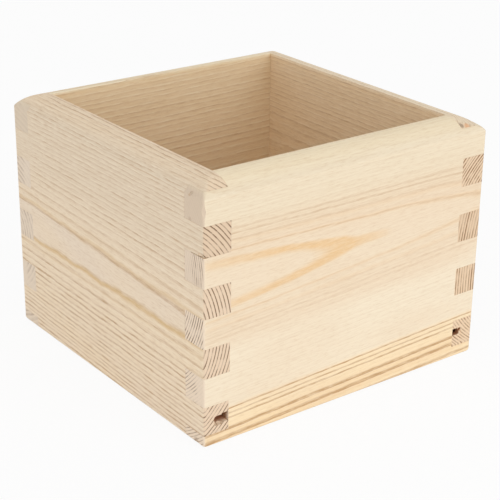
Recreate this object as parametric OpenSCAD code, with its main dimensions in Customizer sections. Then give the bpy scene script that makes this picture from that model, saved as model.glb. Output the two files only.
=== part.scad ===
// Open-topped storage box of pine boards, in millimetres.
// Four walls interlock at the corners with square fingers, and a thin bottom panel
// floats in a groove that runs round the inside of the walls.
// The origin is the middle of the footprint, on the surface that the box stands on, with +Z up.
// The front wall faces -Y and the left wall faces -X.

/* [Box] */
// Length of the front and back walls, outside
box_width = 150; // [110:1:240]
// Length of the left and right walls, outside
box_depth = 150; // [110:1:240]
// Height of the walls
box_height = 113; // [80:1:180]
// Thickness of the four walls
wall_thickness = 13; // [10:0.5:18]

/* [Finger joints] */
// Height of one whole finger
finger_height = 13; // [9:0.5:20]
// Height of the part finger that the front and back walls keep at the bottom
foot_height = 5.5; // [3:0.5:8]
// Glue line between two fingers that lie on each other
glue_line = 0.1; // [0:0.05:0.3]

/* [Bottom panel] */
// Thickness of the bottom panel
panel_thickness = 3; // [2:0.5:5]
// Height of the panel's underside above the surface that the box stands on
panel_height = 9.5; // [8:0.5:14]
// Depth of the groove in the inner face of each wall
groove_depth = 6.5; // [3:0.5:8]
// Play above the panel in its groove
panel_play = 0.6; // [0.1:0.1:1]
// Room between the panel's edges and the floor of the groove
panel_edge_room = 0.4; // [0.2:0.1:1]

/* [Edges] */
// Width of the flat that is left on top of the walls, along the inner edge
rim_flat = 1; // [0.5:0.5:3]
// Fall of the rounded top from the flat to the outer face
rim_drop = 6; // [3:0.5:7]
// Radius that eases the upright corners
corner_radius = 1; // [0.4:0.1:2]
// Radius that eases the outer edges at the bottom
foot_radius = 1.5; // [0.4:0.1:2.5]

/* [Hidden] */
$fn = 64;

// The rounded top is one arc, level at the flat and cut off at the outer face
rim_run = wall_thickness - rim_flat;
rim_radius = (rim_run * rim_run + rim_drop * rim_drop) / (2 * rim_drop);

// Fingers alternate upwards from the foot: side walls first, then front and back walls
finger_step = 2 * finger_height;
side_starts = [for (z = foot_height; z < box_height; z = z + finger_step) z];
front_starts = [for (z = foot_height - finger_height; z < box_height; z = z + finger_step) z];

groove_height = panel_thickness + panel_play;
panel_reach = wall_thickness - groove_depth + panel_edge_room;
panel_width = box_width - 2 * panel_reach;
panel_depth = box_depth - 2 * panel_reach;

// How far a cut runs past the face that it opens
cut_past = 2;

pine = "#f0dec0";
pine_side = "#e2cbaa";
plywood = "#d9bd92";

// Waste outside a rounded corner: the corner points to +X and +Y from the arc's centre
module corner_waste(radius, reach_x, reach_y) {
    difference() {
        square([reach_x + cut_past, reach_y + cut_past]);
        circle(r = radius);
    }
}

// Upright section through two opposite walls, with rounded top corners and eased bottom ones
module upright_section(span) {
    difference() {
        translate([-span / 2, 0])
            square([span, box_height]);
        for (side = [0, 1])
            mirror([side, 0]) {
                translate([span / 2 - rim_run, box_height - rim_radius])
                    corner_waste(rim_radius, rim_run, rim_radius);
                translate([span / 2 - foot_radius, foot_radius])
                    mirror([0, 1])
                        corner_waste(foot_radius, foot_radius, foot_radius);
            }
    }
}

// Footprint of the box, with eased upright corners
module footprint() {
    difference() {
        square([box_width, box_depth], center = true);
        for (side = [0, 1], end = [0, 1])
            mirror([side, 0])
                mirror([0, end])
                    translate([box_width / 2 - corner_radius, box_depth / 2 - corner_radius])
                        corner_waste(corner_radius, corner_radius, corner_radius);
    }
}

// Outer form of the whole box: the rounded top runs round it and meets in mitres at the corners
module outer_form() {
    intersection() {
        rotate([90, 0, 90])
            linear_extrude(box_width, center = true)
                upright_section(box_depth);
        rotate([90, 0, 0])
            linear_extrude(box_depth, center = true)
                upright_section(box_width);
        linear_extrude(box_height)
            footprint();
    }
}

// Sockets at both ends of a wall that take the fingers of its two neighbours
module finger_sockets(wall_length, span, starts) {
    socket_length = wall_thickness + cut_past;
    for (start = starts, end = [0, 1])
        mirror([end, 0, 0])
            translate([
                wall_length / 2 - wall_thickness,
                -span / 2 - cut_past,
                start - glue_line / 2
            ])
                cube([socket_length, wall_thickness + 2 * cut_past, finger_height + glue_line]);
}

// Groove along the inner face of a wall, open at both ends
module panel_groove(wall_length, span) {
    translate([
        -wall_length / 2 - cut_past,
        -span / 2 + wall_thickness - groove_depth,
        panel_height
    ])
        cube([wall_length + 2 * cut_past, groove_depth + cut_past, groove_height]);
}

// Wall along X with its outer face towards -Y, before its outer edges are rounded
module wall_blank(wall_length, span, socket_starts) {
    difference() {
        translate([-wall_length / 2, -span / 2, 0])
            cube([wall_length, wall_thickness, box_height]);
        finger_sockets(wall_length, span, socket_starts);
        panel_groove(wall_length, span);
    }
}

// Front or back wall, turned into its place
module long_wall(turn) {
    intersection() {
        rotate([0, 0, turn])
            wall_blank(box_width, box_depth, side_starts);
        outer_form();
    }
}

// Left or right wall, turned into its place
module cross_wall(turn) {
    intersection() {
        rotate([0, 0, turn])
            wall_blank(box_depth, box_width, front_starts);
        outer_form();
    }
}

// Front wall: its fingers show as end grain on the left and right faces
module front_wall() {
    color(pine)
        long_wall(0);
}

// Back wall: the front wall turned half round
module back_wall() {
    color(pine)
        long_wall(180);
}

// Left wall: its groove runs out through the lowest finger as a small hole in the front and back faces
module left_wall() {
    color(pine_side)
        cross_wall(-90);
}

// Right wall: the left wall turned half round
module right_wall() {
    color(pine_side)
        cross_wall(90);
}

// Bottom panel: lies loose on the lower side of the groove in all four walls
module bottom_panel() {
    color(plywood)
        translate([-panel_width / 2, -panel_depth / 2, panel_height])
            cube([panel_width, panel_depth, panel_thickness]);
}

front_wall();
back_wall();
left_wall();
right_wall();
bottom_panel();
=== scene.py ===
# %% [markdown]
# # A finger-jointed box of sanded pine
# The box is four pine boards that interlock at the corners, with a thin plywood panel
# that floats in a groove near the bottom. This lesson builds the looks around the packed
# CAD model, so every size below comes from that model or repeats one of its named values.

# %% Load the frame
import math
from types import SimpleNamespace

import bmesh
import bpy
from mathutils import Matrix, Vector


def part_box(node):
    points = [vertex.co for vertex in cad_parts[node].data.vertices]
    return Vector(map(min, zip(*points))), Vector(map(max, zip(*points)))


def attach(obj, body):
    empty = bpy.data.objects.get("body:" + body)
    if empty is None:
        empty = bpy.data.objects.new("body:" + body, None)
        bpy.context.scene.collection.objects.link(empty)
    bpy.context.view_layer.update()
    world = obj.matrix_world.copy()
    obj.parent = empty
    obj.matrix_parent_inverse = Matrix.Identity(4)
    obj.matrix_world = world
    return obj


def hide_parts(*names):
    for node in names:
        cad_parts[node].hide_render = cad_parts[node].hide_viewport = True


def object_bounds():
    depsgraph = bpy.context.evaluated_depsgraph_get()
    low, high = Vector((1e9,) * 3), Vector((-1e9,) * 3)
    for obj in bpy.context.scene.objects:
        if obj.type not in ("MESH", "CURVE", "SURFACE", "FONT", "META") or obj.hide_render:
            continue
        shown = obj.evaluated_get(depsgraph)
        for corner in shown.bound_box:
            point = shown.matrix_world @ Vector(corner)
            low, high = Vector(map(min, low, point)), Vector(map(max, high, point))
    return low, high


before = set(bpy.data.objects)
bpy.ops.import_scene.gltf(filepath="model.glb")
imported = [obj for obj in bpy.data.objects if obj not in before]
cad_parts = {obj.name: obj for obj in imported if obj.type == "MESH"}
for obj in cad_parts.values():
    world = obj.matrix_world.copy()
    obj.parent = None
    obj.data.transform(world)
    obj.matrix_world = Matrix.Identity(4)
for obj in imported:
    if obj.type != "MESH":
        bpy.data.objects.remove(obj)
cad_low, cad_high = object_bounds()
print("CAD box", tuple(cad_low), tuple(cad_high))

# %% [markdown]
# ## Measures
# The boxes of the CAD pieces give the wall's thickness and where the panel lies. The
# fingers, the groove and the rounded rim repeat the values that the construction uses.
# The real fingers close up tighter than the CAD glue line, so the visible seam is narrower.

# %% Measures in metres
mm = 0.001
front_low, front_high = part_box("front_wall")
panel_low, panel_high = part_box("bottom_panel")
half_width = cad_high.x
half_depth = cad_high.y
box_top = cad_high.z
wall_thickness = front_high.y - front_low.y
finger_height = 13 * mm
foot_height = 5.5 * mm
seam = 0.03 * mm
groove_depth = 6.5 * mm
groove_play = 0.6 * mm
rim_flat = 1 * mm
rim_drop = 6 * mm
corner_radius = 1 * mm
foot_radius = 1.5 * mm
overrun = 2 * mm
same_place = 0.01 * mm

inner_face = -half_depth + wall_thickness
shoulder = half_width - wall_thickness
rim_run = wall_thickness - rim_flat
rim_radius = (rim_run ** 2 + rim_drop ** 2) / (2 * rim_drop)
groove_low = panel_low.z
groove_high = panel_high.z + groove_play
print("wall", round(wall_thickness / mm, 2), "rim radius", round(rim_radius / mm, 2))

# %% [markdown]
# ## Hand tools
# A few short helpers stand for the moves of a person at the screen: clear the selection,
# add a block between two corners, pick faces or edges by their place, and cut one solid
# with another. A boolean modifier is applied at once, so the cut is in the mesh.

# %% Selection and blocks
def deselect_all():
    bpy.ops.object.select_all(action="DESELECT")


def make_active(piece):
    deselect_all()
    piece.select_set(True)
    bpy.context.view_layer.objects.active = piece


def add_block(name, low, high):
    deselect_all()
    low = Vector(low)
    high = Vector(high)
    bpy.ops.mesh.primitive_cube_add(size=1, location=(low + high) / 2, scale=high - low)
    bpy.ops.object.transform_apply(location=True, rotation=True, scale=True)
    block = bpy.context.object
    block.name = name
    return block


# %% [markdown]
# In edit mode a face or an edge is picked by a small test on its place or its normal. A face
# looks a certain way when its normal agrees with that way by at least the share below.

# %% Picking in edit mode
facing = 0.9


def pick_faces(piece, wanted):
    bpy.ops.mesh.select_mode(type="FACE")
    bpy.ops.mesh.select_all(action="DESELECT")
    mesh = bmesh.from_edit_mesh(piece.data)
    for face in mesh.faces:
        face.select_set(wanted(face.calc_center_median(), face.normal))
    bmesh.update_edit_mesh(piece.data)
    return sum(face.select for face in mesh.faces)


def pick_edges(piece, wanted):
    bpy.ops.mesh.select_mode(type="EDGE")
    bpy.ops.mesh.select_all(action="DESELECT")
    mesh = bmesh.from_edit_mesh(piece.data)
    for edge in mesh.edges:
        edge.select_set(wanted(edge.verts[0].co, edge.verts[1].co))
    bmesh.update_edit_mesh(piece.data)
    return sum(edge.select for edge in mesh.edges)


# %% [markdown]
# A boolean can fail without a word and leave almost nothing of a wall. Every cut is therefore
# followed by a look at the length that is left, and a lost wall stops the script.

# %% Cutting and copying
least_length = 100 * mm


def apply_modifier(piece, kind, **settings):
    make_active(piece)
    added = piece.modifiers.new(kind.lower(), kind)
    for setting, value in settings.items():
        setattr(added, setting, value)
    bpy.ops.object.modifier_apply(modifier=added.name)


def cut(piece, tool, operation="DIFFERENCE"):
    apply_modifier(piece, "BOOLEAN", operation=operation, solver="EXACT", object=tool)
    bpy.data.objects.remove(tool)
    if max(piece.dimensions) < least_length:
        raise RuntimeError(piece.name + " was lost in a cut")


def copy_of(piece, name):
    make_active(piece)
    bpy.ops.object.duplicate(linked=False)
    made = bpy.context.object
    made.name = name
    return made


def turn(piece, degrees):
    make_active(piece)
    piece.rotation_euler = (0, 0, math.radians(degrees))
    bpy.ops.object.transform_apply(location=True, rotation=True, scale=True)


# %% [markdown]
# ## The outer form
# A maker glues the box first and then runs a router round the top, so the rounded rim
# belongs to the whole box and meets in mitres at the corners. The form is a square block
# whose top face is extruded and drawn in along the arc, step by step, and whose bottom
# face is drawn in along the small foot round. The four corner edges and the crease under
# the rim are then bevelled, as sanding leaves them.

# %% Arc steps of the rim and the foot
rim_steps = 18
foot_steps = 5
crease_angle = math.asin(rim_run / rim_radius)
crease_height = box_top - rim_drop
rim_arc = []
for step in range(1, rim_steps + 1):
    angle = crease_angle * (1 - step / rim_steps)
    inset = rim_run - rim_radius * math.sin(angle)
    rim_arc.append((inset, box_top - rim_radius + rim_radius * math.cos(angle)))
foot_arc = []
for step in range(1, foot_steps + 1):
    angle = math.pi / 2 * step / foot_steps
    foot_arc.append((foot_radius * (1 - math.cos(angle)), foot_radius * (1 - math.sin(angle))))
print("rim arc ends at", round(rim_arc[-1][1] / mm, 2), "mm after", len(rim_arc), "steps")


# %% [markdown]
# Each step of an arc is one extrude and one resize about the middle of the box, so the four
# sides move in together and the mitres come by themselves.

# %% Build the outer form
crease_round = 0.45 * mm
near_crease = 0.02 * mm


def follow_arc(arc, start_height):
    inset_now = 0
    height_now = start_height
    for inset, height in arc:
        ratio = (half_width - inset) / (half_width - inset_now)
        bpy.ops.mesh.extrude_region_move(
            TRANSFORM_OT_translate={"value": (0, 0, height - height_now)})
        bpy.ops.transform.resize(value=(ratio, ratio, 1), center_override=(0, 0, height))
        inset_now = inset
        height_now = height


def on_corner(point):
    return abs(abs(point.x) - abs(point.y)) < same_place


def on_crease(point):
    return abs(point.z - crease_height) < near_crease


def make_outer_form():
    form = add_block(
        "outer_form",
        (cad_low.x, cad_low.y, foot_radius),
        (cad_high.x, cad_high.y, crease_height))
    bpy.ops.object.mode_set(mode="EDIT")
    pick_faces(form, lambda middle, normal: normal.z > facing)
    follow_arc(rim_arc, crease_height)
    pick_faces(form, lambda middle, normal: normal.z < -facing)
    follow_arc(foot_arc, foot_radius)
    pick_edges(form, lambda a, b: on_corner(a) and on_corner(b) and abs(a.z - b.z) > same_place)
    bpy.ops.mesh.bevel(offset=corner_radius, segments=6, affect="EDGES", clamp_overlap=False)
    pick_edges(form, lambda a, b: on_crease(a) and on_crease(b))
    bpy.ops.mesh.bevel(offset=crease_round, segments=3, affect="EDGES", clamp_overlap=False)
    bpy.ops.object.mode_set(mode="OBJECT")
    return form


outer_form = make_outer_form()
print("outer form", len(outer_form.data.polygons), "faces")

# %% [markdown]
# ## Boards
# Every board starts as a sawn blank, a little too long and too thick towards the outside.
# Sockets for the neighbour's fingers are cut at both ends, and the groove for the panel
# runs along the inside. The front and back are the same board, and so are the two sides,
# so each is cut once, copied and turned. The outer form then trims all four flush.
# On the real box the sockets get a little shallower towards the bottom, so every socket
# has its own slack, and the finger that fills it is planed thinner by the same amount.

# %% Sockets, groove and trimming
finger_step = 2 * finger_height
finger_count = 5
side_starts = [foot_height + finger_step * n for n in range(finger_count)]
front_starts = [foot_height - finger_height + finger_step * n for n in range(finger_count)]
side_slack = [0.95 * mm, 0.4 * mm, 0.0, 0.0, 0.0]
no_slack = [0.0] * finger_count


def cut_board(name, socket_starts, slack):
    outside = -half_depth - overrun
    end = half_width + overrun
    board = add_block(name, (-end, outside, -overrun), (end, inner_face, box_top + overrun))
    for start, spare in zip(socket_starts, slack):
        for side in (-1, 1):
            ends = sorted((side * (shoulder + spare), side * (end + overrun)))
            low = (ends[0], outside - overrun, start - seam / 2)
            high = (ends[1], inner_face + overrun, start + finger_height + seam / 2)
            cut(board, add_block("socket", low, high))
    low = (-end - overrun, inner_face - groove_depth, groove_low)
    high = (end + overrun, inner_face + overrun, groove_high)
    cut(board, add_block("groove", low, high))
    return board


def trim(board):
    cut(board, copy_of(outer_form, "trim_form"), "INTERSECT")


def fit_finger(board, start, spare):
    for side in (-1, 1):
        ends = sorted((side * shoulder, side * (half_width + 2 * overrun)))
        low = (ends[0], inner_face - spare, start - seam / 2)
        high = (ends[1], inner_face + overrun, start + finger_height + seam / 2)
        cut(board, add_block("plane_off", low, high))


front_wall = cut_board("front_board", side_starts, side_slack)
left_wall = cut_board("left_board", front_starts, no_slack)
for start, spare in zip(side_starts, side_slack):
    if spare > 0:
        fit_finger(left_wall, start, spare)
turn(left_wall, -90)
trim(front_wall)
trim(left_wall)
print("front", len(front_wall.data.polygons), "faces; left", len(left_wall.data.polygons), "faces")

# %% [markdown]
# The inner top edge is broken with sandpaper, and all the sharp edges that are left
# get a hairline bevel, because no sawn edge is perfectly sharp. That bevel is what makes
# the finger joints readable as separate pieces.

# %% Break the edges
hairline = 0.06 * mm
rim_break = 0.35 * mm
rim_zone = 1 * mm
sawn_angle = math.radians(40)


def on_inner_rim(point):
    across = max(abs(point.x), abs(point.y))
    return abs(point.z - box_top) < same_place and across < shoulder + same_place


def pick_sharp_edges(board):
    bpy.ops.mesh.select_all(action="DESELECT")
    bpy.ops.mesh.edges_select_sharp(sharpness=sawn_angle)
    mesh = bmesh.from_edit_mesh(board.data)
    for edge in mesh.edges:
        near_top = min(vert.co.z for vert in edge.verts) > box_top - rim_zone
        if edge.select and (near_top or not edge.is_convex):
            edge.select_set(False)
    bmesh.update_edit_mesh(board.data)


def break_edges(board):
    make_active(board)
    bpy.ops.object.mode_set(mode="EDIT")
    pick_edges(board, lambda a, b: on_inner_rim(a) and on_inner_rim(b))
    bpy.ops.mesh.bevel(offset=rim_break, segments=3, affect="EDGES", clamp_overlap=False)
    pick_sharp_edges(board)
    bpy.ops.mesh.bevel(offset=hairline, segments=1, affect="EDGES", clamp_overlap=False)
    bpy.ops.object.mode_set(mode="OBJECT")


break_edges(front_wall)
break_edges(left_wall)
back_wall = copy_of(front_wall, "back_board")
turn(back_wall, 180)
right_wall = copy_of(left_wall, "right_board")
turn(right_wall, 180)
walls = {
    "front_wall": front_wall,
    "back_wall": back_wall,
    "left_wall": left_wall,
    "right_wall": right_wall,
}
bpy.data.objects.remove(outer_form)
print("walls with broken edges:", ", ".join(walls))

# %% [markdown]
# ## Marks of the making
# A saw and a router tear pine where they leave it. The groove runs out through the lowest
# fingers, so its two mouths on the front are ragged, with splinters left hanging. One seam
# beside the near corner stands open, and a few edges are chipped or sanded over. Each mark is a
# rough lump or slot that is shaken with a fixed seed, then cut out of a board or joined to it.

# %% Rough lumps and slots
slot_fray = 0.09 * mm
upright_length = 0.1 * mm
wide_round = 1


def shake(piece, amount, seed):
    make_active(piece)
    bpy.ops.object.mode_set(mode="EDIT")
    bpy.ops.mesh.select_all(action="SELECT")
    bpy.ops.transform.vertex_random(offset=amount, uniform=0, normal=0, seed=seed)
    bpy.ops.object.mode_set(mode="OBJECT")


def add_lump(name, middle, size, seed, roughness=0.12):
    deselect_all()
    place = Vector(middle) * mm
    bpy.ops.mesh.primitive_ico_sphere_add(
        subdivisions=2, radius=0.5, location=place, scale=Vector(size) * mm)
    bpy.ops.object.transform_apply(location=True, rotation=True, scale=True)
    lump = bpy.context.object
    lump.name = name
    shake(lump, roughness * min(size) * mm, seed)
    return lump


def add_slot(name, low, high, round_edge, seed):
    slot = add_block(name, Vector(low) * mm, Vector(high) * mm)
    bpy.ops.object.mode_set(mode="EDIT")
    outer = max(low[0], high[0], key=abs) * mm
    pick_edges(slot, lambda a, b: abs(a.x - outer) < same_place and abs(a.y - b.y) > upright_length)
    if round_edge:
        steps = 4 if round_edge > wide_round else 1
        bpy.ops.mesh.bevel(offset=round_edge * mm, segments=steps, affect="EDGES")
    bpy.ops.mesh.select_all(action="SELECT")
    bpy.ops.mesh.subdivide(number_cuts=2)
    bpy.ops.mesh.quads_convert_to_tris()
    bpy.ops.object.mode_set(mode="OBJECT")
    shake(slot, slot_fray, seed)
    return slot


# %% [markdown]
# The near mouth is wider than the groove behind it: its end is rounded and torn back, its top
# edge has a step with a splinter beside it, and its lower lip is worn to a slope.

# %% Near mouth, in the left board
cut(left_wall, add_slot("mouth_end", (-70.1, -76, 9.55), (-66, -71.5, 13.25), 1.3, 1))
cut(left_wall, add_slot("mouth_step", (-66.3, -76, 12.6), (-61, -72.5, 13.75), 0, 2))
cut(left_wall, add_lump("mouth_lip", (-67.9, -75.3, 9.35), (4.6, 5.0, 1.5), 3))
cut(left_wall, add_lump("mouth_splinter", (-66.7, -74.0, 13.3), (0.6, 1.4, 1.1), 4), "UNION")
print("left board with its near mouth:", len(left_wall.data.polygons), "faces")

# %% [markdown]
# The far mouth kept more of its wood: a strip is left across its lower part and its outer end,
# and the tear goes up instead.

# %% Far mouth, in the right board
cut(right_wall, add_slot("mouth_strip", (61.9, -74.8, 9.2), (69.2, -72.6, 13.4), 0, 6), "UNION")
cut(right_wall, add_slot("mouth_hole", (61, -76, 11.0), (67.2, -70.5, 14.4), 0.5, 5))
cut(right_wall, add_slot("mouth_tear", (66.0, -76, 12.7), (68.1, -73.7, 14.3), 0.4, 7))
print("right board with its far mouth:", len(right_wall.data.polygons), "faces")

# %% [markdown]
# The two mouths at the back were cut with less force, so they only have rounded, slightly
# frayed ends.

# %% Back mouths, in both side boards
cut(left_wall, add_slot("back_mouth_left", (-69.6, 71.6, 9.4), (-66, 76, 13.2), 0.8, 15))
cut(right_wall, add_slot("back_mouth_right", (66, 72.2, 9.6), (69.3, 76, 13.4), 0.8, 16))
print("back mouths cut in", left_wall.name, "and", right_wall.name)

# %% [markdown]
# One glue seam beside the near corner has opened into a thin wedge. It is a flat block whose
# inner end is squeezed before it is cut out of the left board.

# %% Open seam at the near edge
seam_low = Vector((-76, -76, 83.35)) * mm
seam_high = Vector((-72.8, -66.4, 83.95)) * mm
seam_middle = 83.45 * mm
seam_squeeze = 0.75
seam_gap = add_block("open_seam", seam_low, seam_high)
bpy.ops.object.mode_set(mode="EDIT")
pick_faces(seam_gap, lambda middle, normal: normal.y > facing)
bpy.ops.transform.resize(value=(1, 1, seam_squeeze), center_override=(0, seam_high.y, seam_middle))
bpy.ops.object.mode_set(mode="OBJECT")
cut(left_wall, seam_gap)
print("left board with its open seam:", len(left_wall.data.polygons), "faces")

# %% [markdown]
# Knocks leave small nicks on the near edges, and the near corner of the rim is sanded over.
# Each nick is a rough lump with its own middle, size and seed. The lump for the sanded corner
# is large and almost smooth, and only its side touches the wood.

# %% Nicks and sanded near corner
nicks = [
    (left_wall, "seam_chip", (-75.1, -73.2, 84.2), (1.3, 4.2, 1.6), 8),
    (left_wall, "rim_nick", (-62.4, -72.9, 109.5), (1.7, 1.5, 0.9), 9),
    (front_wall, "end_nick", (-74.5, -66.3, 108.2), (1.3, 1.9, 1.6), 10),
    (front_wall, "end_nick_side", (-74.8, -65.5, 107.2), (1.0, 1.0, 2.0), 14),
    (front_wall, "end_nick_low", (-75.1, -65.8, 97.0), (0.8, 1.8, 1.5), 11),
    (front_wall, "foot_chip", (-74.9, -70.2, 0.6), (1.6, 4.2, 2.4), 12),
]
for wall, nick_name, middle, size, seed in nicks:
    cut(wall, add_lump(nick_name, middle, size, seed))
sanded_smooth = 0.004
cut(front_wall, add_lump("sanded_corner", (-77.1, -77.1, 102.5), (8, 8, 12), 13, sanded_smooth))
print("left", len(left_wall.data.polygons), "faces; front", len(front_wall.data.polygons), "faces")

# %% [markdown]
# At the far end of the front, sandpaper has flattened the corner of the rim across two boards.
# A block is tilted to the slope of the sanded facet, and the wood inside it is taken away.

# %% Sanded far corner
facet_slope = Vector((1, -1, 4))
facet_place = Vector((69, -69, 110.65)) * mm
block_half = 15 * mm
block_height = 8 * mm
for wall in (front_wall, right_wall):
    sanding_block = add_block(
        "sanding_block", (-block_half, -block_half, 0), (block_half, block_half, block_height))
    sanding_block.rotation_euler = facet_slope.to_track_quat("Z", "Y").to_euler()
    sanding_block.location = facet_place
    bpy.ops.object.transform_apply(location=True, rotation=True, scale=True)
    cut(wall, sanding_block)
    print(wall.name, len(wall.data.polygons), "faces after sanding")

# %% [markdown]
# ## Bottom panel
# The panel is three-ply: two thin face veneers and a core. It starts as a block, is bisected
# at the two glue lines, and the core's edge is pressed in a little, as a saw leaves it.
# Its corners are clipped, so that it drops into the grooves past the glue in the corners.

# %% Build the panel
veneer = 0.7 * mm
corner_clip = 7 * mm
core_line = 0.05 * mm
core_press = 0.12 * mm
panel_round = 0.15 * mm
panel_round_angle = math.radians(60)
bottom_panel = add_block("bottom_ply", panel_low, panel_high)
bpy.ops.object.mode_set(mode="EDIT")
pick_edges(bottom_panel, lambda a, b: abs(a.z - b.z) > 1 * mm)
bpy.ops.mesh.bevel(offset=corner_clip, segments=1, affect="EDGES", clamp_overlap=False)
for height in (panel_low.z + veneer, panel_high.z - veneer):
    bpy.ops.mesh.select_all(action="SELECT")
    bpy.ops.mesh.bisect(plane_co=(0, 0, height), plane_no=(0, 0, 1))
core_middle = (panel_low.z + panel_high.z) / 2
pick_faces(
    bottom_panel,
    lambda middle, normal: abs(normal.z) < 0.1 and abs(middle.z - core_middle) < veneer / 2)
bpy.ops.mesh.inset(thickness=core_line, depth=-core_press, use_even_offset=True)
bpy.ops.object.mode_set(mode="OBJECT")
apply_modifier(
    bottom_panel, "BEVEL", width=panel_round, segments=2, limit_method="ANGLE",
    angle_limit=panel_round_angle, use_clamp_overlap=True)
print("panel", len(bottom_panel.data.polygons), "faces")

# %% [markdown]
# ## Smooth shading
# The arcs shade smooth and the sawn edges stay crisp. Weighted normals keep the large
# faces flat right up to the small rounds beside them.

# %% Shade the pieces
smooth_angle = math.radians(28)
face_weight = 80


def shade(piece):
    make_active(piece)
    bpy.ops.object.shade_smooth_by_angle(angle=smooth_angle)
    apply_modifier(piece, "WEIGHTED_NORMAL", mode="FACE_AREA", weight=face_weight, keep_sharp=True)


for piece in list(walls.values()) + [bottom_panel]:
    shade(piece)
    print("shaded", piece.name)

# %% [markdown]
# ## Shader maths
# The grain is worked out from a point's place in the board. To keep that readable, one
# small class wraps a socket, so that sums on it read like ordinary Python and add Math
# nodes, and one method adds any other node.

# %% A wire between nodes
class Wire:
    def __init__(self, tree, socket=None):
        self.tree = tree
        self.socket = socket

    def node(self, kind, settings=None, inputs=None, output=0):
        made = self.tree.nodes.new(kind)
        for setting, value in (settings or {}).items():
            if setting == "stops":
                set_stops(made.color_ramp, value)
            else:
                setattr(made, setting, value)
        for key, value in (inputs or {}).items():
            if isinstance(value, Wire):
                self.tree.links.new(value.socket, made.inputs[key])
            else:
                made.inputs[key].default_value = value
        return Wire(self.tree, made.outputs[output])

    def math(self, operation, first, second=0.0):
        return self.node("ShaderNodeMath", {"operation": operation}, {0: first, 1: second})

    def __add__(self, other):
        return self.math("ADD", self, other)

    __radd__ = __add__

    def __mul__(self, other):
        return self.math("MULTIPLY", self, other)

    __rmul__ = __mul__

    def __sub__(self, other):
        return self.math("SUBTRACT", self, other)

    def __rsub__(self, other):
        return self.math("SUBTRACT", other, self)

    def __truediv__(self, other):
        return self.math("DIVIDE", self, other)

    def __pow__(self, other):
        return self.math("POWER", self, other)

    def __abs__(self):
        return self.math("ABSOLUTE", self)


def set_stops(ramp, stops):
    while len(ramp.elements) < len(stops):
        ramp.elements.new(0.5)
    for element, (place, shade_value) in zip(ramp.elements, stops):
        element.position = place
        element.color = (shade_value, shade_value, shade_value, 1)


# %% [markdown]
# A few words cover most of the finishes: a soft step between two values, a curve through
# points, noise, and one colour laid over another. Colours are written as on a screen, from 0
# to 255, and are turned into the linear values that the renderer works with.

# %% Shader shorthands
def smooth_step(wire, start, end):
    settings = {"interpolation_type": "SMOOTHSTEP"}
    inputs = {"Value": wire, "From Min": start, "From Max": end}
    return wire.node("ShaderNodeMapRange", settings, inputs, "Result")


def curve(wire, points):
    first = points[0][0]
    last = points[-1][0]
    stops = [((place - first) / (last - first), value) for place, value in points]
    return wire.node("ShaderNodeValToRGB", {"stops": stops}, {0: (wire - first) / (last - first)})


def larger(a, b):
    return a.math("MAXIMUM", a, b)


def noise(vector, detail=2.0, roughness=0.5):
    inputs = {"Vector": vector, "Scale": 1.0, "Detail": detail, "Roughness": roughness}
    return vector.node("ShaderNodeTexNoise", None, inputs, "Fac")


def blend(factor, first, second):
    return factor.node(
        "ShaderNodeMix", {"data_type": "RGBA"}, {0: factor, 6: first, 7: second}, 2)


def paint(red, green, blue):
    linear = []
    for value in (red, green, blue):
        share = value / 255
        linear.append(share / 12.92 if share <= 0.04045 else ((share + 0.055) / 1.055) ** 2.4)
    return (*linear, 1)


def tint(factor, under, colour):
    return blend(factor, under, paint(*colour))


def start_finish(name):
    material = bpy.data.materials.new(name)
    material.use_nodes = True
    return material, Wire(material.node_tree)


def place_in_mm(start):
    place = start.node("ShaderNodeTexCoord", output="Object")
    return place.node("ShaderNodeVectorMath", {"operation": "SCALE"}, {0: place, "Scale": 1 / mm})


def measured(vector, direction):
    return vector.node(
        "ShaderNodeVectorMath", {"operation": "DOT_PRODUCT"}, {0: vector, 1: direction}, "Value")


def chance_of(number):
    return number.node("ShaderNodeTexWhiteNoise", {"noise_dimensions": "1D"}, {"W": number}, "Value")


# %% [markdown]
# Pine and plywood are both bare and matt, so they end in the same way: a colour, a roughness
# and a very low relief are joined to the material's own shader.

# %% Bare wood surface
relief_depth = 0.08 * mm
matt_shine = 0.25


def finish_surface(material, colour, roughness, relief, relief_share):
    tree = material.node_tree
    inputs = {"Strength": relief_share, "Distance": relief_depth, "Height": relief}
    bump = Wire(tree).node("ShaderNodeBump", None, inputs)
    shader = tree.nodes["Principled BSDF"]
    for socket_name, wire in (("Base Color", colour), ("Roughness", roughness), ("Normal", bump)):
        tree.links.new(wire.socket, shader.inputs[socket_name])
    shader.inputs["Specular IOR Level"].default_value = matt_shine
    print(material.name, len(tree.nodes), "nodes")
    return material


# %% [markdown]
# ## Pine
# A board is a slice of a trunk. Growth rings are cylinders round the pith, so a ring's
# radius is the distance from the pith line, which runs almost along the board. Where a face
# cuts the rings at a low angle they spread into flames, and where an end cuts them they show
# as arcs. Working from the radius gives both at once, and the arcs on a finger's end line up
# with the stripes on its sides. Each ring goes from pale early wood to a darker line of late
# wood with an abrupt outer edge. All lengths in this finish are millimetres.

# %% Place in the board
def place_in_board(start, board):
    place = place_in_mm(start)
    grain = SimpleNamespace(start=start, board=board)
    grain.along = measured(place, board["along"])
    grain.depth = measured(place, board["inward"]) + half_depth / mm
    grain.height = measured(place, (0, 0, 1))
    slope = curve(grain.height, board["rise_by_height"]) * board["rise"]
    grain.level = grain.height - grain.along * slope
    grain.from_end = half_width / mm - abs(grain.along)
    # End grain shows where the surface cuts across the fibres
    normal = start.node("ShaderNodeTexCoord", output="Normal")
    grain.end_share = smooth_step(abs(measured(normal, board["along"])), 0.25, 0.75)
    return grain


def fibre_noise(grain, length, across, detail=2.0, roughness=0.5):
    parts = {
        0: grain.along / length + grain.board["seed"],
        1: grain.level / across,
        2: grain.depth / across,
    }
    return noise(grain.start.node("ShaderNodeCombineXYZ", None, parts), detail, roughness)


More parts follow.
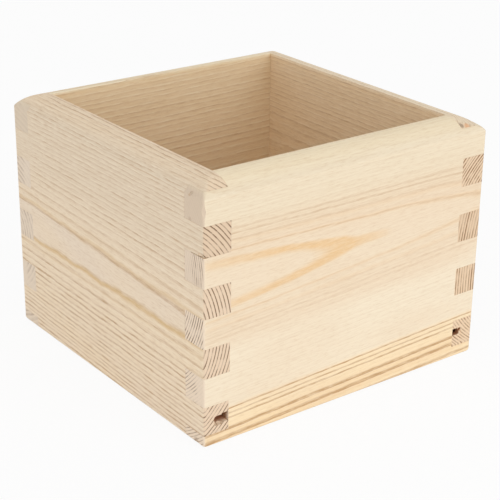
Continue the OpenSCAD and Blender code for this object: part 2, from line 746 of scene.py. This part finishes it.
# %% [markdown]
# The radius gets slow waves, a quicker wander and a fine raggedness, as a tree never grows in
# perfect circles. The whole part of the ring count names a ring and gives it a chance value of
# its own, and the rest tells how far through the year's growth a point lies. A board may also
# bend its levels, which spreads the rings where its fingers show them.

# %% Growth rings
def grow_rings(grain):
    board = grain.board
    start = grain.start
    wander = (fibre_noise(grain, 16, 5) - 0.5) * board["wander"]
    wander = wander * curve(grain.height, board["wander_by_height"])
    ragged = (fibre_noise(grain, 3.5, 0.8) - 0.5) * board["ragged"]
    # All noise from here on follows the bent level
    if "bend" in board:
        grain.level = curve(grain.level, board["bend"])
    rise = grain.level - board["pith_height"] + (wander + ragged) * (1 - grain.end_share * 0.75)
    reach = grain.depth - grain.along * board["lean"] - board["pith_depth"]
    waves = (fibre_noise(grain, 70, 22) - 0.5) * board["wave"]
    grain.radius = (rise * rise + reach * reach) ** 0.5 + waves
    drift_place = start.node("ShaderNodeCombineXYZ", None, {0: grain.radius * 0.21 + board["seed"]})
    drift = (noise(drift_place, 1.0) - 0.5) * board["jitter"]
    ring = (grain.radius - board["anchor"]) / board["spacing"] + drift
    grain.phase = start.math("FRACT", ring)
    grain.chance = chance_of(start.math("FLOOR", ring) + board["seed"])
    grain.fade = smooth_step(fibre_noise(grain, 9, 1.0, 4.0, 0.65), 0.32, 0.68) * 1.3 + 0.12


# %% [markdown]
# On the faces every ring draws a line of late wood that fades in and out along the board, with
# fresh pale wood after it. The strongest lines of the real boards are named rings, each with a
# start, an end, the softness of both and a strength.

# %% Lines on the faces
def ring_lines(radius, rings):
    lines = None
    for start, end, soft_start, soft_end, strength in rings:
        rise = smooth_step(radius, start - soft_start / 2, start + soft_start / 2)
        fall = smooth_step(radius, end - soft_end / 2, end + soft_end / 2)
        line = rise * (1 - fall) * strength
        lines = line if lines is None else larger(lines, line)
    return lines


def draw_face_lines(grain):
    board = grain.board
    height = grain.height
    strength = curve(grain.radius, board["strength"])
    grain.fresh = (1 - smooth_step(grain.phase, 0.0, 0.4)) * strength * grain.fade
    late = smooth_step(grain.phase, 0.53, 0.95) * (1 - smooth_step(grain.phase, 0.95, 1.0))
    line = late * strength * (grain.chance * 0.75 + 0.5) * grain.fade
    brown = ring_lines(grain.radius, board["brown_rings"]) * curve(height, board["brown_by_height"])
    line = larger(line, brown * (grain.fade * 0.65 + 0.35))
    on_rim = smooth_step(grain.depth, 4, 11) * smooth_step(height, 98, 107)
    grain.quiet = smooth_step(grain.along, 56, 63) * smooth_step(height, 76, 82) * board["quiet_end"]
    line = line * curve(height, board["by_height"]) * (1 + on_rim * board["rim_lines"])
    grain.line = line * (1 - grain.quiet)


# %% [markdown]
# Where a face runs along a ring, that ring spreads into a flame. The pocket is one such ring. It
# gets wider, fades and moves along the board as the curves say. A ramp holds no value below
# zero, so a shift of 0.2 stands for none, and the curves go up and down from there.

# %% Flames
no_shift = 0.2


def draw_flames(grain):
    board = grain.board
    middle, half, soft, strength = board["pocket_ring"]
    pocket = grain.radius - middle + (fibre_noise(grain, 13, 40) - 0.5) * board["pocket_wave"]
    pocket = pocket + curve(grain.along, board["pocket_shift"]) - no_shift
    pocket = pocket * curve(grain.along, board["pocket_width"])
    pocket = ring_lines(pocket, [(-half, half, soft, soft, strength)])
    pocket = pocket * curve(grain.along, board["pocket_fade"])
    flame = larger(pocket, ring_lines(grain.radius, board["flame_rings"]))
    grain.flame = flame * curve(grain.height, board["flame_by_height"])


# %% [markdown]
# The ends of the fingers show the same rings as arcs, crisper than the lines on the faces. Some
# parts of the ends are almost plain, as on the real box.

# %% Arcs on the ends
def window(wire, low, high, soft):
    return smooth_step(wire, low - soft, low) * (1 - smooth_step(wire, high, high + soft))


def draw_end_arcs(grain):
    board = grain.board
    depth = grain.depth
    height = grain.height
    end_fade = smooth_step(fibre_noise(grain, 200, 4.5, 3.0), 0.36, 0.58) * 0.75 + 0.35
    arc = smooth_step(grain.phase, board["end_start"], 0.88) * (1 - smooth_step(grain.phase, 0.93, 1.0))
    arc = arc * curve(height, board["end_strength"]) * (grain.chance * 0.5 + 0.65) * end_fade
    plain = window(height, 17, 33, 1) * (1 - smooth_step(depth, 3.5, 7))
    plain = larger(plain, window(height, 69, 85, 1) * smooth_step(depth, 6, 9) * 0.8)
    plain = larger(plain, window(height, 17, 21.5, 2) * 0.8)
    grain.arc = arc * (1 - plain * board["plain_end"]) * smooth_step(depth, *board["end_edge"])


# %% [markdown]
# The colour of a face starts with its zone in the trunk: pale, warm or golden early wood, greyer
# towards the top, and a clean tone on the sanded rim. The inner faces get a warmer, darker tone
# that is painted shade and painted bounce light from the walls round them.

# %% Zones of early wood
def zone_colour(grain):
    board = grain.board
    height = grain.height
    slow = fibre_noise(grain, 90, 30, 1.0)
    warm = curve(grain.radius, board["warm"]) * curve(height, board["warm_by_height"])
    zone = tint(warm, paint(*board["early"]), board["early_warm"])
    zone = tint(curve(grain.radius, board["gold"]), zone, board["early_gold"])
    zone = tint(smooth_step(slow, 0.4, 0.75) * 0.5, zone, board["early_warm"])
    grain.grey = curve(height, board["grey_by_height"])
    zone = tint(grain.grey, zone, board["early_grey"])
    grain.rim_share = smooth_step(height, 107.5, 112.5) * 0.7
    zone = tint(grain.rim_share, zone, board["rim"])
    # Painted shade and painted warm bounce light on the inner faces, below the rim
    inner_shade_share = smooth_step(grain.depth, 12.6, 12.9) * (1 - smooth_step(height, 111.5, 112.5))
    return tint(inner_shade_share * 0.45, zone, board["inner"])


# %% [markdown]
# Flames, ring lines, long streaks, short resin dashes and fine flecks then lie over the zones,
# one after another. The ends have pores instead of streaks.

# %% Colour of faces and ends
def face_colour(grain):
    board = grain.board
    grain.streak = fibre_noise(grain, 28, 0.9, 4.0, 0.7)
    grain.hair = fibre_noise(grain, 7, 0.4, 2.0, 0.6)
    fleck = fibre_noise(grain, 4.0, 0.55, 3.0, 0.65)
    wood = zone_colour(grain)
    wood = tint(grain.fresh * board["fresh"] * (1 - grain.quiet), wood, board["pale"])
    wood = tint(grain.flame * (grain.fade * 0.2 + 0.8), wood, board["flame"])
    wood = tint(grain.line, wood, board["late"])
    wood = tint(smooth_step(grain.streak, 0.48, 0.72) * board["streaks"], wood, board["late"])
    wood = tint(smooth_step(grain.streak, 0.5, 0.28) * board["streaks"] * 1.2, wood, board["pale"])
    wood = tint(smooth_step(grain.hair, 0.62, 0.75) * board["dashes"], wood, board["late"])
    wood = tint(smooth_step(fleck, 0.5, 0.72) * board["flecks"], wood, board["late"])
    return tint(smooth_step(fleck, 0.5, 0.28) * board["flecks"], wood, board["pale"])


def end_colour(grain):
    board = grain.board
    grain.pore = fibre_noise(grain, 30, 0.17, 2.0, 0.7)
    pores = smooth_step(grain.pore, 0.35, 0.8) * board["pores"]
    ends = tint(pores, paint(*board["end_early"]), board["end_late"])
    ends = tint(grain.grey * 0.8, ends, board["end_grey"])
    ends = tint(grain.rim_share, ends, board["rim"])
    ends = tint(curve(grain.height, board["end_shade"]), ends, board["end_late"])
    return tint(grain.arc, ends, board["end_late"])


# %% [markdown]
# Use leaves a few spots bruised. Some light and shade is painted in as well: a paler strip along
# the eased upright edges is a painted highlight, and the groove and the shoulders that close it
# are darkened with painted shade.

# %% Painted edge highlight, painted groove shade and spots
def paint_edge_highlight_and_groove_shade(grain, colour):
    board = grain.board
    depth = grain.depth
    from_end = grain.from_end
    # Painted highlight: a paler strip on the outer face along the eased upright edges
    edge_highlight_share = (1 - smooth_step(from_end, 0.5, 2.0)) * (1 - smooth_step(depth, 0.2, 1.0))
    edge_highlight_share = edge_highlight_share * (1 - grain.end_share)
    colour = tint(edge_highlight_share * board["edge_highlight"], colour, board["pale"])
    # Painted shade: the groove and the shoulders that close it are darkened, deepest inside
    groove = window(grain.height, groove_low / mm, groove_high / mm + 0.5, 0.5)
    groove = groove * smooth_step(depth, 0.3, 2.5) * smooth_step(from_end, *board["groove_shade_ramp"])
    groove = groove * (1 - grain.end_share * smooth_step(from_end, 9, 7))
    return tint(groove * 0.8, colour, board["groove"])


def add_spots(grain, colour):
    start = grain.start
    for along_at, depth_at, height_at, size, strength, spot_colour in grain.board["spots"]:
        parts = {0: grain.along - along_at, 1: grain.depth - depth_at, 2: grain.height - height_at}
        offset = start.node("ShaderNodeCombineXYZ", None, parts)
        far = start.node("ShaderNodeVectorMath", {"operation": "LENGTH"}, {0: offset}, "Value")
        spot = 1 - smooth_step(far / size + (grain.hair - 0.5) * 0.8, 0.35, 1.0)
        colour = tint(spot * strength, colour, spot_colour)
    return colour


# %% [markdown]
# The whole finish runs these steps in turn. Late wood stands a little proud and shines more, and
# the ends are rough.

# %% Pine finish
pine_relief = 0.5


def pine_finish(name, board):
    material, start = start_finish(name)
    grain = place_in_board(start, board)
    grow_rings(grain)
    draw_face_lines(grain)
    draw_flames(grain)
    draw_end_arcs(grain)
    wood = face_colour(grain)
    ends = end_colour(grain)
    colour = paint_edge_highlight_and_groove_shade(grain, blend(grain.end_share, wood, ends))
    colour = add_spots(grain, colour)
    relief = grain.line * 0.6 + grain.streak * 0.5 + grain.hair * 0.25
    relief = relief + grain.pore * grain.end_share * 0.9
    roughness = 0.62 - grain.line * 0.08 + grain.end_share * 0.14 + (grain.streak - 0.5) * 0.12
    return finish_surface(material, colour, roughness, relief, pine_relief)


# %% [markdown]
# Each board comes from another part of a trunk. The front board's pith lies behind its face,
# which gives the pale pocket with an orange flame round it. The left board was cut on the
# other side of its pith, which gives the wide clear band across its middle. A list of pairs is
# a curve: a place along, a height or a radius in millimetres, and the value there.

# %% Front board
bruise = (126, 97, 75)
resin = (236, 168, 112)
even_up = [(0, 1.0), (113, 1.0)]
even_along = [(-75, 1.0), (75, 1.0)]
unmoved = [(-75, no_shift), (75, no_shift)]
front_board = {
    "along": (1, 0, 0), "inward": (0, 1, 0), "seed": 3.7,
    "pith_height": 72.2, "rise": 0.031, "pith_depth": 52.0, "lean": 0.012,
    "wave": 0.3, "wander": 1.4, "ragged": 0.4, "anchor": 52.2, "spacing": 1.35, "jitter": 0.9,
    "strength": [(38, 0.6), (50.5, 0.3), (51.6, 0.0), (52.6, 0.0), (53.5, 0.08), (57, 0.12), (61, 0.1),
                 (74, 0.06), (75.5, 0.0), (92, 0.1)],
    "brown_rings": [(53.0, 53.12, 0.12, 0.06, 0.34),
                    (54.15, 54.45, 0.2, 0.1, 0.25), (55.1, 55.4, 0.2, 0.1, 0.4),
                    (55.85, 56.15, 0.2, 0.1, 0.32),
                    (75.35, 75.85, 0.25, 0.1, 0.9), (76.95, 77.45, 0.3, 0.1, 0.75),
                    (78.45, 79.05, 0.3, 0.12, 0.8), (81.95, 83.05, 0.9, 0.15, 1.0),
                    (84.65, 85.85, 1.0, 0.15, 0.93), (88.55, 89.55, 0.8, 0.15, 0.75)],
    "pocket_ring": (52.06, 0.15, 0.18, 1.0),
    "pocket_width": [(-75, 0.45), (-45, 0.65), (-15, 1.0), (-3, 1.4), (10, 3.0), (18, 4.0), (75, 4.0)],
    "pocket_shift": [(-75, 0.2), (-60, 0.19), (-35, 0.22), (-20, 0.25), (-8, 0.235), (2, 0.22), (10, 0.13),
                     (18, 0.03), (24, 0.0), (75, 0.0)],
    "pocket_fade": [(-75, 0.4), (-60, 0.65), (-40, 0.95), (-15, 1.0), (0, 0.95), (9, 0.7), (16, 0.4),
                    (23, 0.0), (75, 0.0)],
    "flame_rings": [(52.95, 53.2, 0.2, 0.15, 0.3), (53.8, 54.3, 0.3, 0.2, 0.15),
                    (79.6, 82.2, 1.8, 0.3, 0.12), (83.0, 87.6, 1.0, 1.0, 0.28)],
    "wander_by_height": [(0, 0.3), (22, 0.3), (40, 1.0), (113, 1.0)],
    "warm_by_height": [(0, 0.8), (60, 0.75), (76, 0.95), (86, 1.1), (113, 1.1)],
    "warm": [(45, 0.25), (51.5, 0.6), (52.2, 0.7), (54, 0.9), (56.5, 0.9), (60, 0.15), (92, 0.0)],
    "gold": [(45, 0.0), (74.4, 0.0), (75.6, 0.85), (92, 1.0)],
    "early": (247, 233, 208), "early_warm": (238, 215, 186), "early_gold": (253, 230, 191),
    "flame": (238, 202, 154), "late": (200, 161, 117), "pale": (253, 241, 217),
    "streaks": 0.15, "dashes": 0.15, "flecks": 0.22, "plain_end": 0.9, "edge_highlight": 0.15,
    "pocket_wave": 0.0, "end_edge": (0.3, 1.3),
    "fresh": 1.0, "quiet_end": 0.0, "end_start": 0.6, "rise_by_height": even_up,
    "by_height": even_up, "rim_lines": 0.0,
    "brown_by_height": [(0, 1.0), (30, 1.0), (45, 0.55), (70, 0.55), (76, 1.0), (113, 1.0)],
    "flame_by_height": even_up, "inner": (232, 200, 150),
    "spots": [(-75, 8.9, 108.0, 1.6, 0.3, bruise), (-75, 9.2, 97.0, 1.5, 0.15, bruise),
              (-75, 5.5, 1.5, 2.2, 0.35, bruise)],
    "grey_by_height": [(0, 0.0), (84, 0.0), (97, 0.75), (113, 0.9)],
    "early_grey": (238, 222, 194), "end_grey": (212, 191, 167), "rim": (251, 233, 198),
    "end_early": (246, 227, 204), "end_late": (132, 101, 78), "pores": 0.2,
    "groove": (150, 104, 64), "groove_shade_ramp": (0.3, 3.0),
    "end_strength": [(0, 0.8), (6, 0.8), (18, 0.78), (32, 0.78), (44, 1.4), (58, 1.4), (70, 1.05),
                     (84, 1.0), (96, 0.08), (113, 0.08)],
    "end_shade": [(0, 0.0), (66, 0.0), (72, 0.09), (84, 0.09), (90, 0.0), (113, 0.0)],
}
print("front board:", len(front_board), "values")

# %% Left board
left_board = {
    "along": (0, 1, 0), "inward": (1, 0, 0), "seed": 11.3,
    "pith_height": 53.2, "rise": 0.0295, "pith_depth": -32.78, "lean": 0.0051,
    "wave": 0.3, "wander": 1.3, "ragged": 0.65, "anchor": 33.46, "spacing": 1.65, "jitter": 0.5,
    "strength": [(30, 0.0), (33.5, 0.0), (34.3, 0.6), (42, 0.65), (55, 0.7), (80, 0.75)],
    "brown_rings": [(33.24, 33.5, 0.1, 0.2, 0.6), (34.7, 35.05, 0.3, 0.12, 0.45)],
    "pocket_ring": (33.64, 0.26, 0.42, 1.0), "pocket_width": even_along,
    "pocket_shift": unmoved, "wander_by_height": even_up, "pocket_fade": even_along,
    "flame_rings": [(34.7, 35.2, 0.3, 0.15, 0.3)], "warm_by_height": even_up,
    "warm": [(30, 0.0), (33.4, 0.0), (34, 0.5), (42, 0.5), (60, 0.3), (80, 0.4)],
    "gold": [(30, 0.0), (80, 0.0)],
    "early": (239, 221, 200), "early_warm": (249, 227, 193), "early_gold": (245, 218, 182),
    "flame": (224, 193, 146), "late": (196, 161, 123), "pale": (250, 234, 210),
    "streaks": 0.22, "dashes": 0.15, "flecks": 0.33, "plain_end": 0.0, "edge_highlight": 0.0,
    "pocket_wave": 0.8, "end_edge": (-2.0, -1.0),
    "fresh": 0.6, "quiet_end": 0.7, "end_start": 0.6,
    "rise_by_height": [(0, 1.0), (60, 1.0), (72, 0.75), (84, 0.35), (95, 0.0), (113, 0.0)],
    "by_height": [(0, 1.7), (30, 1.55), (45, 1.3), (60, 0.98), (80, 0.82), (113, 0.9)],
    "rim_lines": 0.8, "brown_by_height": [(0, 0.25), (50, 0.25), (55, 1.0), (113, 1.0)],
    "inner": (232, 200, 150),
    "spots": [(-74, 12.5, 109.5, 1.3, 0.5, bruise), (-74.5, 0.5, 84.2, 2.4, 0.15, bruise)],
    "grey_by_height": [(0, 0.0), (60, 0.0), (85, 0.7), (113, 0.9)],
    "early_grey": (230, 212, 187), "end_grey": (232, 206, 176), "rim": (246, 222, 190),
    "flame_by_height": [(0, 1.0), (49, 1.0), (53, 0.6), (113, 0.6)],
    "end_early": (240, 216, 189), "end_late": (124, 93, 67), "pores": 0.22,
    "groove": (192, 124, 84), "groove_shade_ramp": (0.3, 4.0),
    "end_strength": [(0, 1.1), (18, 1.1), (31, 1.12), (104, 1.12), (109, 0.75), (113, 0.75)],
    "end_shade": [(0, 0.0), (75, 0.0), (84, 0.07), (97, 0.07), (105, 0.0), (113, 0.0)],
}
print("left board:", len(left_board), "values")

# %% [markdown]
# The right and back boards aren't seen from the front. They start as copies of the left and front
# boards, with another pith, another seed and rings of their own.

# %% Right board
right_board = dict(
    left_board, along=(0, -1, 0), inward=(-1, 0, 0), seed=23.9, pith_height=52.0, rise=0.012,
    pith_depth=-52.0, lean=-0.004, anchor=52.1, spacing=1.6, jitter=0.9, end_early=(247, 221, 189),
    end_late=(140, 98, 62), groove=(150, 80, 25), groove_shade_ramp=(0.05, 0.7), end_start=0.35,
    pocket_ring=(52.55, 0.1, 0.12, 0.6), pocket_wave=0.1, rim_lines=0.0, quiet_end=0.0,
    rim=(250, 230, 198),
    bend=[(-5, 0), (5.5, 6), (18.5, 28), (31, 50), (44, 58), (57, 66), (70, 74), (84, 86), (97, 102),
          (118, 127)],
    spots=[(71.6, 12.2, 110.6, 1.7, 0.6, bruise), (70.6, 12.4, 111.4, 1.3, 0.35, bruise),
           (72.0, 9.4, 110.0, 2.0, 0.6, resin)])
right_board["strength"] = [(47, 0.0), (52.2, 0.0), (53.0, 0.4), (62, 0.5), (90, 0.6)]
right_board["brown_rings"] = [(52.3, 52.42, 0.1, 0.06, 0.4), (53.75, 53.95, 0.15, 0.08, 0.4)]
right_board["flame_rings"] = [(53.7, 54.1, 0.25, 0.12, 0.3)]
right_board["warm"] = [(47, 0.0), (52.3, 0.1), (53, 0.5), (65, 0.4), (90, 0.4)]
right_board["end_strength"] = [(0, 0.75), (18, 0.8), (31, 1.0), (70, 0.95), (84, 1.05), (104, 1.05),
                               (109, 0.55), (113, 0.55)]
right_board["end_shade"] = [(0, 0.04), (18, 0.04), (31, 0.08), (58, 0.14), (70, 0.14), (82, 0.04),
                            (113, 0.0)]
print("right board:", len(right_board), "values")

# %% Back board
back_board = dict(
    front_board, along=(-1, 0, 0), inward=(0, -1, 0), seed=41.2, pith_height=45.0, rise=-0.02,
    pith_depth=-12.0, lean=0.01, anchor=12.4, spacing=2.4, jitter=0.8,
    end_early=(241, 224, 203), end_grey=(222, 204, 180), end_start=0.15)
back_board["strength"] = [(8, 0.3), (30, 0.45), (90, 0.4)]
back_board["brown_rings"] = [(12.1, 12.4, 0.25, 0.12, 0.4), (14.3, 14.6, 0.25, 0.12, 0.5)]
back_board["pocket_ring"] = (12.2, 0.25, 0.2, 0.8)
back_board["pocket_width"] = even_along
back_board["pocket_fade"] = even_along
back_board["pocket_shift"] = unmoved
back_board["flame_rings"] = [(14.1, 14.7, 0.3, 0.2, 0.5)]
back_board["warm"] = [(8, 0.3), (90, 0.3)]
back_board["gold"] = [(8, 0.0), (90, 0.2)]
back_board["end_strength"] = [(0, 0.35), (84, 0.35), (96, 0.1), (113, 0.1)]
back_board["end_shade"] = [(0, 0.0), (113, 0.0)]
back_board["spots"] = []
print("back board:", len(back_board), "values")

# %% [markdown]
# Every finished wall gets the grain of its own board, rides on the box's one body and stands in
# for its CAD piece.

# %% Dress the walls
boards = {
    "front_wall": front_board,
    "back_wall": back_board,
    "left_wall": left_board,
    "right_wall": right_board,
}
for node_name, wall in walls.items():
    wall.name = node_name + "_pine"
    wall.data.materials.clear()
    wall.data.materials.append(pine_finish(node_name + "_grain", boards[node_name]))
    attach(wall, "root")
    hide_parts(node_name)

# %% [markdown]
# ## Plywood
# The panel's face is a peeled veneer: wide, wandering bands instead of straight lines, a
# little darker and yellower than the walls. Its edges show the darker core between two faces, and
# the whole sawn edge is darkened further with painted shade, as it lies deep in the groove.

# %% Plywood finish
plywood_relief = 0.4


def plywood_finish(name):
    material, start = start_finish(name)
    parts = start.node("ShaderNodeSeparateXYZ", None, {0: place_in_mm(start)}).socket.node
    x, y, z = (Wire(start.tree, parts.outputs[axis]) for axis in "XYZ")

    def veneer_space(length, across):
        return start.node("ShaderNodeCombineXYZ", None, {0: x / across, 1: y / length, 2: z / 30})

    wander = noise(veneer_space(190, 30), 2.5, 0.45)
    ring = wander * 26 + x * 0.05 + noise(veneer_space(7, 2.5), 3.0) * 0.3
    band = start.math("FRACT", ring)
    chance = chance_of(start.math("FLOOR", ring))
    fade = smooth_step(noise(veneer_space(18, 1.5), 3.0), 0.3, 0.7)
    line = smooth_step(band, 0.5, 0.93) * (1 - smooth_step(band, 0.95, 1.0)) * (chance * 0.4 + 0.12)
    line = line * (fade * 0.7 + 0.3)
    streak = noise(veneer_space(35, 0.5), 3.0, 0.6)
    pore = noise(veneer_space(3.0, 0.28), 2.0, 0.6)
    cloud = noise(veneer_space(60, 9), 2.0)
    core = smooth_step(abs(z - core_middle / mm), 0.85, 0.75)
    past_side = larger(abs(x) - panel_high.x / mm, abs(y) - panel_high.y / mm)
    edge = smooth_step(past_side, -0.3, -0.1)
    wood = tint(line, paint(226, 200, 160), (196, 160, 112))
    wood = tint(smooth_step(cloud, 0.4, 0.7) * 0.35, wood, (212, 182, 138))
    wood = tint(smooth_step(streak, 0.45, 0.75) * 0.4, wood, (190, 156, 112))
    wood = tint(smooth_step(streak, 0.5, 0.28) * 0.25, wood, (240, 218, 182))
    wood = tint(smooth_step(pore, 0.6, 0.75) * 0.3, wood, (170, 132, 90))
    wood = tint(core * 0.6, wood, (176, 138, 96))
    # Painted shade: the sides of the panel, deep in the groove, are darkened
    wood = tint(edge * 0.8, wood, (120, 80, 56))
    roughness = 0.66 + (streak - 0.5) * 0.14
    relief = streak + line * 0.4 - pore * 0.5
    return finish_surface(material, wood, roughness, relief, plywood_relief)


bottom_panel.name = "bottom_panel_plywood"
bottom_panel.data.materials.clear()
bottom_panel.data.materials.append(plywood_finish("veneer_ply"))
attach(bottom_panel, "root")
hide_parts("bottom_panel")

# %% [markdown]
# ## Floor and light
# The box stands on a plain white sweep. To the camera the floor is almost pure white and keeps
# only a soft shadow; to the box it is an ordinary pale floor that sends light back up.
# Two large soft lamps and an even surround light it like a small product table.

# %% Floor
floor_size = 8
floor_gap = 0.02 * mm
floor_colour = (0.95, 0.95, 0.95, 1)
floor_roughness = 0.9
seen_share = 0.9


def seen_as_background(start):
    camera_ray = start.node("ShaderNodeLightPath", output="Is Camera Ray")
    rays = camera_ray.socket.node.outputs
    mirrored = Wire(start.tree, rays["Is Glossy Ray"])
    through = Wire(start.tree, rays["Is Transmission Ray"])
    return larger(camera_ray, larger(mirrored, through))


deselect_all()
bpy.ops.mesh.primitive_plane_add(size=floor_size, location=(0, 0, -floor_gap))
floor = bpy.context.object
floor.name = "floor"
floor_material, floor_start = start_finish("floor_white")
floor_tree = floor_material.node_tree
floor_shader = floor_tree.nodes["Principled BSDF"]
floor_shader.inputs["Base Color"].default_value = floor_colour
floor_shader.inputs["Roughness"].default_value = floor_roughness
white = floor_start.node("ShaderNodeEmission", None, {"Color": (1, 1, 1, 1), "Strength": 1.0})
seen = seen_as_background(floor_start) * seen_share
plain = Wire(floor_tree, floor_shader.outputs[0])
mixed = floor_start.node("ShaderNodeMixShader", None, {0: seen, 1: plain, 2: white})
floor_tree.links.new(mixed.socket, floor_tree.nodes["Material Output"].inputs["Surface"])
floor.data.materials.append(floor_material)
print("floor", floor_size, "m wide")

# %% [markdown]
# The surround is an even white. It looks pure white behind the box, and lights it a little less.

# %% Surround
world = bpy.data.worlds.new("studio")
bpy.context.scene.world = world
world.use_nodes = True
world_start = Wire(world.node_tree)
surround = world.node_tree.nodes["Background"]
surround.inputs["Color"].default_value = (1, 1, 1, 1)
surround_level = 0.68
surround_strength = larger(seen_as_background(world_start), surround_level)
world.node_tree.links.new(surround_strength.socket, surround.inputs["Strength"])
print("surround lights at", surround_level)


# %% [markdown]
# The front of the real box is the brighter side, so the front lamp is the stronger of the two.
# Both are more than a metre wide, which keeps the shadows soft.

# %% Lamps
lamp_size = 1.1
lamp_target = Vector((0, 0, 0.05))


def add_lamp(name, place, power):
    lamp = bpy.data.lights.new(name, "AREA")
    lamp.shape = "SQUARE"
    lamp.size = lamp_size
    lamp.energy = power
    holder = bpy.data.objects.new(name, lamp)
    bpy.context.scene.collection.objects.link(holder)
    holder.location = place
    holder.rotation_euler = (lamp_target - Vector(place)).to_track_quat("-Z", "Y").to_euler()
    print(name, power, "W")


add_lamp("front_lamp", (0.45, -1.5, 0.55), 7.2)
add_lamp("left_lamp", (-1.5, -0.5, 0.6), 4.5)

# %% [markdown]
# ## Camera
# The camera stands a little above the box, off its near corner, with a long lens. Its place and
# direction were fitted to the box's own edges, so the picture's frame is the photograph's.

# %% Camera
camera_place = Vector((-358.5, -479.63, 296.29)) * mm
turn_vector = Vector((1.8960, -0.62315, 0.42782))
view_turn = Matrix.Rotation(turn_vector.length, 3, turn_vector.normalized())
right, down, ahead = view_turn[0], view_turn[1], view_turn[2]
camera = bpy.data.cameras.new("camera")
camera.sensor_fit = "HORIZONTAL"
camera.sensor_width = 36
camera.lens = 101.59
camera_holder = bpy.data.objects.new("camera", camera)
bpy.context.scene.collection.objects.link(camera_holder)
axes = Matrix((right, -down, -ahead)).transposed()
camera_holder.matrix_world = Matrix.Translation(camera_place) @ axes.to_4x4()
bpy.context.scene.camera = camera_holder
bpy.context.scene.view_settings.view_transform = "Standard"
print("camera at", tuple(round(value, 3) for value in camera_place), "with a lens of", camera.lens)
